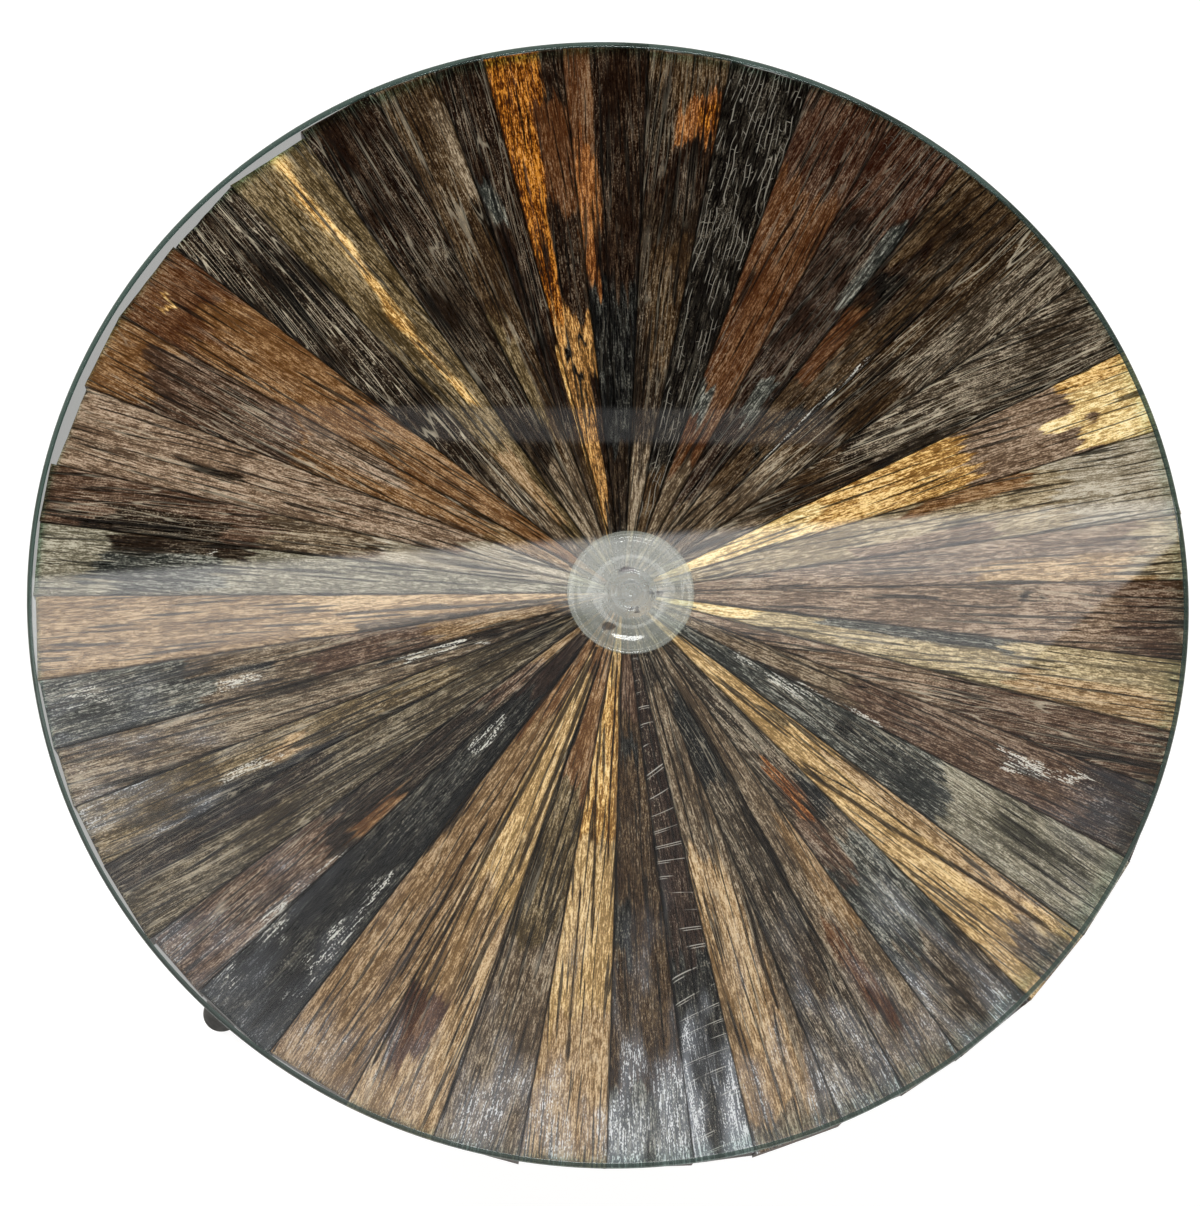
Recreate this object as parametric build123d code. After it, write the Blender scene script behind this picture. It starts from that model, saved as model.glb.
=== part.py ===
from build123d import *
import math
import os

# A round coffee table. Wedge staves of old timber run from the rim to the hub, glued to a round
# board. A round glass lies on a clear pad over the hub, and three splayed iron legs
# carry the board. Lengths are in millimetres, Z is up and the floor is at Z = 0. The origin is
# under the middle of the glass.

# ---- driving dimensions ----
table_height = 450.0

glass_diameter = 800.0
glass_thickness = 8.0
glass_edge_radius = 3.2
glass_to_wood_gap = 0.3

pad_diameter = 88.0
pad_flange_thickness = 2.4
pad_rim_chamfer = 0.7
pad_boss_diameter = 35.2
pad_boss_length = 13.0
pad_dish_inner_diameter = 24.0
pad_dish_outer_diameter = 76.0
pad_dish_depth = 0.8
pad_peg_diameter = 14.0
pad_peg_length = 6.0
pad_peg_chamfer = 1.5
pad_side_clearance = 0.4
pad_seat_clearance = 1.5
pad_center = (14.0, -6.0)

wood_radius = 400.0
wood_center = (2.0, 0.0)
stave_apex = (9.0, -6.0)
stave_thickness = 32.0
stave_joint_gap = 0.6
stave_edge_chamfer = 1.2
stave_end_chamfer = 1.6
first_joint_angle = 1.8

board_radius = 372.0
board_thickness = 18.0
board_edge_chamfer = 5.0

leg_count = 3
leg_diameter = 22.0
leg_top_circle_radius = 240.0
first_leg_angle = 219.0

plate_diameter = 110.0
plate_thickness = 6.0
plate_edge_chamfer = 1.0
plate_screw_count = 4
plate_screw_circle_radius = 42.0
plate_screw_shank_diameter = 5.0
plate_screw_head_diameter = 10.0
plate_screw_head_height = 3.2
plate_screw_bite = 13.0
plate_screw_hole_clearance = 0.1

foot_circle_radius = 379.0
foot_length = 34.0
foot_wall = 4.0
foot_sole_thickness = 10.0
foot_rim_chamfer = 1.2
foot_socket_clearance = 0.05

# One value for each stave, counted anticlockwise from the +X side of the table.
# Its share of the circle. The shares may have any sum, for they are scaled to fill the turn.
stave_shares = [
    7.0, 9.0, 9.0, 8.5, 9.0, 8.5, 8.5, 9.0, 8.5,
    8.5, 9.0, 8.0, 5.0, 6.5, 8.5, 9.0, 8.5, 9.0,
    8.0, 8.5, 6.0, 7.5, 8.5, 7.0, 6.0, 6.5, 8.5,
    7.0, 9.0, 9.0, 9.0, 8.5, 8.5, 8.5, 6.0, 9.0,
    7.0, 6.5, 9.0, 8.5, 9.0, 8.0, 6.0, 7.5, 8.5,
]
# How far the middle of its end stands back from the wood's circle.
stave_setbacks = [
    3.0, 2.0, 1.5, 1.5, 1.0, 3.5, 3.0, 2.5, 3.0,
    2.0, 1.5, 2.0, 1.0, 1.5, 2.0, 6.5, 7.5, 7.0,
    6.5, 8.0, 2.5, 3.0, 3.5, 3.0, 3.5, 4.0, 3.5,
    4.5, 4.0, 5.0, 3.0, 2.5, 3.5, 3.0, 2.0, 1.0,
    3.0, 1.5, 1.0, 0.5, 1.0, 1.5, 3.0, 3.5, 3.0,
]
# How many degrees its end is skewed, anticlockwise seen from above.
stave_end_skews = [
    0.0, 1.5, -1.0, 0.5, -1.5, 1.0, -3.0, 1.5, -1.0,
    0.5, 1.0, -0.5, 2.0, -1.0, 1.5, -3.5, 3.0, -1.0,
    1.5, -2.0, 1.0, 0.0, -1.5, 1.0, -1.0, 2.0, -0.5,
    1.0, -1.5, 0.5, 1.5, -1.0, 1.0, 0.0, -2.0, 2.5,
    -2.0, 1.0, -1.0, 1.5, -0.5, 1.0, -1.5, 1.0, 0.5,
]
# How far its top lies below the proudest stave.
stave_drops = [
    0.9, 0.4, 0.8, 0.0, 1.2, 0.6, 1.0, 0.5, 1.3,
    1.6, 0.3, 0.9, 0.5, 1.4, 0.8, 1.5, 0.2, 1.1,
    0.6, 1.0, 0.4, 1.2, 0.7, 0.0, 0.9, 1.3, 0.4,
    1.0, 0.2, 1.6, 0.7, 1.2, 0.3, 0.8, 1.4, 1.8,
    0.5, 1.1, 0.6, 1.3, 0.0, 0.7, 1.1, 0.6, 0.3,
]

# ---- heights that follow ----
glass_bottom = table_height - glass_thickness
stave_top = glass_bottom - glass_to_wood_gap
stave_bottom = stave_top - stave_thickness
board_bottom = stave_bottom - board_thickness
plate_bottom = board_bottom - plate_thickness
pad_seat = glass_bottom - pad_flange_thickness
hub_hole_radius = pad_boss_diameter / 2 + pad_side_clearance
circle_per_share = 360.0 / sum(stave_shares)


def spot(radius, angle, center=(0.0, 0.0)):
    """The point at this radius and angle in degrees from a centre, in plan."""
    turn = math.radians(angle)
    return center[0] + radius * math.cos(turn), center[1] + radius * math.sin(turn)


def upright(radius, bottom, top, center=(0.0, 0.0)):
    """A round bar along Z between two heights."""
    return Pos(center[0], center[1], bottom) * extrude(Circle(radius), top - bottom)


def save(shape, name):
    shape.label = name
    export_step(shape, f"parts/{name}.step")


def glass_top():
    disc = upright(glass_diameter / 2, glass_bottom, table_height)
    edge = min(glass_edge_radius, 0.4 * glass_thickness)
    return fillet(disc.edges().filter_by(GeomType.CIRCLE), edge)


def centre_pad():
    """A clear soft disc whose top is dished like a suction cup, with a boss and peg below."""
    rim = min(pad_rim_chamfer, 0.4 * pad_flange_thickness)
    dish_depth = min(pad_dish_depth, 0.5 * pad_flange_thickness)
    peg_tip = min(pad_peg_chamfer, 0.4 * pad_peg_length, 0.4 * pad_peg_diameter)
    outer = pad_diameter / 2
    boss = pad_boss_diameter / 2
    peg = pad_peg_diameter / 2
    dish_inner = pad_dish_inner_diameter / 2
    dish_outer = pad_dish_outer_diameter / 2
    boss_bottom = pad_seat - pad_boss_length
    peg_bottom = boss_bottom - pad_peg_length
    profile = Polyline(
        (0, glass_bottom),
        (dish_inner, glass_bottom),
        (dish_inner + dish_depth, glass_bottom - dish_depth),
        (dish_outer, glass_bottom),
        (outer - rim, glass_bottom),
        (outer, glass_bottom - rim),
        (outer, pad_seat),
        (boss, pad_seat),
        (boss, boss_bottom),
        (peg, boss_bottom),
        (peg, peg_bottom + peg_tip),
        (peg - peg_tip, peg_bottom),
        (0, peg_bottom),
        close=True,
    )
    return Pos(*pad_center) * revolve(Plane.XZ * make_face(profile), Axis.Z)


def stave_angles(index):
    """The angles of the two joints that this stave lies between."""
    before = sum(stave_shares[:index]) * circle_per_share
    start = first_joint_angle + before
    return start, start + stave_shares[index] * circle_per_share


def stave_reach(index, angle):
    """The distance from the staves' apex to the middle of this stave's end."""
    way_x, way_y = spot(1.0, angle)
    from_x = stave_apex[0] - wood_center[0]
    from_y = stave_apex[1] - wood_center[1]
    along = from_x * way_x + from_y * way_y
    aside_squared = from_x**2 + from_y**2 - along**2
    return math.sqrt(wood_radius**2 - aside_squared) - along - stave_setbacks[index]


def stave_plan(index):
    """The three corners of a stave's wedge in plan: its tip, then its end from right to left."""
    start, stop = stave_angles(index)
    middle = (start + stop) / 2
    half = math.radians((stop - start) / 2)
    tip_distance = stave_joint_gap / 2 / math.sin(half)
    tip = spot(tip_distance, middle, stave_apex)
    reach = stave_reach(index, middle)
    slope = math.tan(math.radians(stave_end_skews[index]))
    corners = [tip]
    for side in (-1, 1):
        # Where the side line from the tip, at this half angle, meets the skewed end.
        widening = math.tan(half)
        length = (reach - tip_distance) / (1 + side * slope * widening)
        corner = spot(length / math.cos(half), middle + side * math.degrees(half), tip)
        corners.append(corner)
    return corners


def bevel_plane(start, stop, top, size):
    """The plane of a 45 degree chamfer along the top edge that runs from start to stop."""
    along = Vector(stop[0] - start[0], stop[1] - start[1], 0).normalized()
    outward = along.cross(Vector(0, 0, 1))
    on_top = Vector(start[0], start[1], top) - outward * size
    return Plane(origin=on_top, x_dir=along, z_dir=outward + Vector(0, 0, 1))


def stave(index):
    """A wedge with its top arrises eased, and its tip cut away for the pad and its boss."""
    tip, right, left = stave_plan(index)
    top = stave_top - stave_drops[index]
    face = make_face(Polyline(tip, right, left, close=True))
    body = Pos(0, 0, stave_bottom) * extrude(face, top - stave_bottom)
    arrises = (
        (tip, right, stave_edge_chamfer),
        (right, left, stave_end_chamfer),
        (left, tip, stave_edge_chamfer),
    )
    for start, stop, size in arrises:
        body = split(body, bisect_by=bevel_plane(start, stop, top, size), keep=Keep.BOTTOM)
    hub_hole = upright(hub_hole_radius, stave_bottom, stave_top, pad_center)
    seat_radius = pad_diameter / 2 + pad_seat_clearance
    seat = upright(seat_radius, pad_seat, stave_top, pad_center)
    return body - hub_hole - seat


def plate_spots():
    """Where each leg's axis meets the underside of its plate, with the leg's plan angle."""
    angles = [first_leg_angle + number * 360.0 / leg_count for number in range(leg_count)]
    return [(spot(leg_top_circle_radius, angle, wood_center), angle) for angle in angles]


def plate_screw_spots(plate_spot, leg_angle):
    step = 360.0 / plate_screw_count
    angles = [leg_angle + (number + 0.5) * step for number in range(plate_screw_count)]
    return [spot(plate_screw_circle_radius, angle, plate_spot) for angle in angles]


def backing_board():
    board = upright(board_radius, board_bottom, stave_bottom, wood_center)
    lower_edge = board.edges().group_by(Axis.Z)[0]
    board = chamfer(lower_edge, min(board_edge_chamfer, 0.4 * board_thickness))
    pilot_radius = plate_screw_shank_diameter / 2 + plate_screw_hole_clearance
    pilot_top = board_bottom + plate_screw_bite + plate_screw_hole_clearance
    for plate_spot, angle in plate_spots():
        for screw_spot in plate_screw_spots(plate_spot, angle):
            board -= upright(pilot_radius, board_bottom, pilot_top, screw_spot)
    return board


def plate_screw(center):
    """A screw that points up, its head under the plate and its shank in the board."""
    head_bottom = plate_bottom - plate_screw_head_height
    head = upright(plate_screw_head_diameter / 2, head_bottom, plate_bottom, center)
    shank_top = board_bottom + plate_screw_bite
    return head + upright(plate_screw_shank_diameter / 2, plate_bottom, shank_top, center)


def plate_screws():
    return Compound(children=[
        plate_screw(screw_spot)
        for plate_spot, angle in plate_spots()
        for screw_spot in plate_screw_spots(plate_spot, angle)
    ])


def leg_plate(plate_spot, angle):
    plate = upright(plate_diameter / 2, plate_bottom, board_bottom, plate_spot)
    lower_edge = plate.edges().group_by(Axis.Z)[0]
    plate = chamfer(lower_edge, min(plate_edge_chamfer, 0.4 * plate_thickness))
    hole_radius = plate_screw_shank_diameter / 2 + plate_screw_hole_clearance
    for screw_spot in plate_screw_spots(plate_spot, angle):
        plate -= upright(hole_radius, plate_bottom, board_bottom, screw_spot)
    return plate


def leg_ends(angle):
    """The leg's axis: from the underside of its plate to the middle of its foot's sole."""
    top = Vector(*spot(leg_top_circle_radius, angle, wood_center), plate_bottom)
    bottom = Vector(*spot(foot_circle_radius, angle, wood_center), 0)
    return top, bottom


def leg_bar(angle, radius, start, stop):
    """A round bar along the leg's axis, between two distances up it from the floor."""
    top, bottom = leg_ends(angle)
    axis = (top - bottom).normalized()
    section = Plane(origin=bottom + axis * start, z_dir=axis) * Circle(radius)
    return extrude(section, stop - start)


def level_overrun(angle, radius):
    """How far past its axis point a leaning bar must run for a level cut to leave a whole face."""
    top, bottom = leg_ends(angle)
    lean = math.hypot(top.X - bottom.X, top.Y - bottom.Y) / (top.Z - bottom.Z)
    return 2 * radius * lean


def leg(angle):
    """A round bar, cut level where it is welded under its plate and square inside its foot."""
    top, bottom = leg_ends(angle)
    radius = leg_diameter / 2
    full_length = (top - bottom).length + level_overrun(angle, radius)
    bar = leg_bar(angle, radius, foot_sole_thickness, full_length)
    return split(bar, bisect_by=Plane.XY.offset(plate_bottom), keep=Keep.BOTTOM)


def foot(angle):
    """A ferrule over the end of the leg, cut level where it stands on the floor."""
    socket_radius = leg_diameter / 2 + foot_socket_clearance
    radius = socket_radius + foot_wall
    bar = leg_bar(angle, radius, -level_overrun(angle, radius), foot_length)
    body = split(bar, bisect_by=Plane.XY, keep=Keep.TOP)
    rim = body.edges().filter_by(GeomType.CIRCLE).sort_by(Axis.Z)[-1]
    body = chamfer(rim, min(foot_rim_chamfer, 0.7 * foot_wall))
    socket_floor = foot_sole_thickness - foot_socket_clearance
    return body - leg_bar(angle, socket_radius, socket_floor, foot_length)


def main():
    os.makedirs("parts", exist_ok=True)
    save(glass_top(), "glass_top")
    save(centre_pad(), "centre_pad")
    for index in range(len(stave_shares)):
        save(stave(index), f"stave_{index + 1:02d}")
    save(backing_board(), "backing_board")
    save(plate_screws(), "plate_screws")
    for number, (plate_spot, angle) in enumerate(plate_spots(), start=1):
        save(leg_plate(plate_spot, angle), f"leg_plate_{number}")
        save(leg(angle), f"leg_{number}")
        save(foot(angle), f"foot_{number}")


main()
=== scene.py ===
"""Looks for a round table of radiating timber staves under a sheet of glass, on three iron legs."""

import math
from typing import NamedTuple

import bmesh
import bpy
import numpy as np
from mathutils import Matrix, Vector


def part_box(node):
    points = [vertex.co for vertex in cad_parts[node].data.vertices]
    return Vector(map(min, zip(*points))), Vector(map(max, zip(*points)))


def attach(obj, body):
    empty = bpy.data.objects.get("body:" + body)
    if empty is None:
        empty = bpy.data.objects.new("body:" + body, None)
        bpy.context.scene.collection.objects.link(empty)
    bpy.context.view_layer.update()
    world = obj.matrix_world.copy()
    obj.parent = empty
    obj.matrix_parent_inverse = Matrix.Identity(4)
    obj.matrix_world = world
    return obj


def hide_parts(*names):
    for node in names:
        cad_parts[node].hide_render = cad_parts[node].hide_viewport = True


MM = 0.001

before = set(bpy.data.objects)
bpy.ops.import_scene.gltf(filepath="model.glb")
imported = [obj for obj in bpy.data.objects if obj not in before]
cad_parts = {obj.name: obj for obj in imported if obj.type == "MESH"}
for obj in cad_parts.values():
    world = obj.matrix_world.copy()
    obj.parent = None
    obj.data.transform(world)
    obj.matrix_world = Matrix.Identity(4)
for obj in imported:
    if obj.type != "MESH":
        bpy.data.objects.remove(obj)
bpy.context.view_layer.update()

# ---- places read from the frame ----
pad_low, pad_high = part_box("centre_pad")
pad_center = (pad_low + pad_high) / 2
pad_radius = (pad_high.x - pad_low.x) / 2
glass_low, glass_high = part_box("glass_top")
glass_center = (glass_low + glass_high) / 2
glass_radius = (glass_high.x - glass_low.x) / 2
stave_nodes = sorted(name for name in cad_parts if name.startswith("stave_"))
leg_nodes = [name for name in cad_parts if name.startswith("leg_") and name[4].isdigit()]
leg_numbers = sorted(int(name[4:]) for name in leg_nodes)

# ---- the pad's seat in the wood ----
pad_flange = 2.4 * MM
pad_seat_height = pad_high.z - pad_flange - 0.02 * MM
pad_seat_radius = pad_radius + 1.5 * MM

# ---- the relief mesh of a stave ----
steps_along = 240
step_across = 0.88 * MM
arris_width = 1.1 * MM
arris_drop = 1.2 * MM
crack_depth = 2.2 * MM
knot_depth = 1.1 * MM
noise_cells = (97, 89)

# ---- the bands of a stave's sides, and how far each level is set in from the top down ----
upper_band = 3.5 * MM
lower_band = 2.0 * MM
end_insets = (0, 0.3 * MM, 0.4 * MM, 1.1 * MM)
side_insets = (0, -0.27 * MM, -0.27 * MM, 0.6 * MM)

# ---- the glass, the pad and the weld beads ----
glass_segments = 256
edge_round = 0.4
edge_segments = 6
pad_segments = 96
bead_steps = 120
bead_profile_steps = 12
bead_profile_offset = 9

# ---- the camera ----
camera_distance = 2.4
camera_aim = Vector((-0.0074, -0.0155, 0.45))
camera_azimuth = math.radians(-6.98)
camera_lean = math.radians(14.34)
picture_width = 1200
focal_pixels = 3496.1
sensor_width = 36.0

# ---- the stage ----
floor_half_width = 12
ceiling_half_width = 7
ceiling_height = 2.9
lamp_target = (0, 0, 0.4)
lamp_colour = (1.0, 0.96, 0.9)


# -------- colours --------

def linear(red, green, blue):
    """A colour for a shader from its 0 to 255 screen values."""
    shares = [value / 255 for value in (red, green, blue)]
    bent = [s / 12.92 if s <= 0.04045 else ((s + 0.055) / 1.055) ** 2.4 for s in shares]
    return (*bent, 1.0)


# Each tone is the dark, the middle and the light colour of one kind of old timber.
TONES = {
    "black": ((4, 2, 1), (11, 7, 4), (46, 41, 34)),
    "char": ((6, 6, 6), (17, 16, 14), (60, 61, 58)),
    "cocoa": ((16, 6, 2), (26, 13, 5), (62, 46, 32)),
    "umber": ((18, 10, 4), (33, 22, 13), (72, 60, 46)),
    "ash": ((40, 31, 21), (80, 69, 56), (142, 130, 114)),
    "walnut": ((32, 20, 9), (55, 39, 22), (92, 74, 52)),
    "maroon": ((24, 13, 7), (40, 26, 18), (70, 54, 43)),
    "russet": ((56, 38, 26), (88, 67, 52), (134, 114, 98)),
    "chestnut": ((58, 30, 11), (83, 52, 28), (116, 86, 60)),
    "cherry": ((36, 15, 6), (54, 32, 20), (86, 61, 45)),
    "bark": ((46, 37, 23), (76, 66, 49), (124, 112, 92)),
    "brown": ((84, 54, 26), (118, 86, 54), (160, 128, 94)),
    "tawny": ((92, 68, 40), (134, 108, 76), (178, 152, 120)),
    "tan": ((110, 84, 52), (158, 130, 94), (206, 180, 144)),
    "honey": ((132, 106, 66), (184, 152, 104), (232, 204, 154)),
    "linen": ((108, 94, 72), (154, 138, 110), (194, 180, 154)),
    "wheat": ((116, 102, 74), (166, 149, 115), (216, 199, 162)),
    "pearl": ((122, 112, 94), (158, 148, 130), (194, 186, 172)),
    "rust": ((74, 38, 14), (122, 74, 34), (174, 120, 68)),
    "orange": ((50, 20, 2), (114, 62, 10), (196, 130, 46)),
    "amber": ((84, 58, 28), (152, 108, 58), (214, 168, 104)),
    "gold": ((120, 84, 38), (196, 154, 90), (246, 214, 152)),
    "straw": ((170, 140, 88), (234, 206, 146), (254, 240, 196)),
    "taupe": ((64, 51, 37), (104, 88, 69), (154, 139, 119)),
    "mauve": ((82, 64, 49), (126, 105, 86), (172, 151, 132)),
    "silver": ((86, 82, 68), (128, 122, 106), (174, 170, 155)),
    "olive": ((56, 44, 24), (92, 77, 51), (142, 124, 94)),
    "slate": ((30, 32, 30), (70, 71, 66), (140, 141, 134)),
}

# The colours of what lies over a stave's tone: marks of its own, and painted glint, highlight, sheen
# and shade.
# Painted glint: pale streaks of light.
PAINTED_GLINT_STREAK = linear(224, 224, 218)
# Painted highlight flecks.
PAINTED_FLECK_HIGHLIGHT = linear(214, 203, 184)
# Pale crest lines: worn wood, with painted highlight.
CREST_WEAR_AND_HIGHLIGHT = linear(200, 190, 170)
CHECK = linear(136, 132, 124)
SAW_MARK = linear(196, 194, 188)
# Painted sheen: a bluish haze and white glints of reflected light.
PAINTED_SHEEN_HAZE = linear(150, 156, 168)
PAINTED_SHEEN_GLINT = linear(228, 232, 238)
DASH = linear(8, 6, 4)
# Painted shade in grooves and cracks, and the dark joint lines.
PAINTED_GROOVE_SHADE_AND_JOINTS = linear(6, 5, 4)

# What sawn ends darken towards, in screen values.
END_GRAIN = (62, 42, 27)


# -------- the staves' finishes --------

class Finish(NamedTuple):
    """How one stave looks: its tone, how deep its ridges are and what marks it.

    Places on a stave are shares: along it, 0 at the tip and 1 at the rim; across it, -1 at the
    right-hand joint and 1 at the left-hand one.
    lean: how far the grain runs across for each step along.
    patches: (tone, from, to, right, left), or without the last two for the whole width. A patch
    of pale streaks over the tone is painted glint, where the varnish would catch the light.
    cracks: (from, to, side at from, side at to, width in mm).
    checks: (strength, length in mm, width in mm) of a net of pale checks.
    knots: (along, across, size in mm). sheen: how much sheen and glint is painted near the rim, and
    how many more highlight flecks are painted.
    strokes: how strongly fine saw marks cross the stave.
    """

    tone: str
    ridge: float
    lean: float
    patches: tuple
    cracks: tuple = ()
    checks: tuple = ()
    knots: tuple = ()
    sheen: float = 0.0
    strokes: float = 0.0


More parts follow.
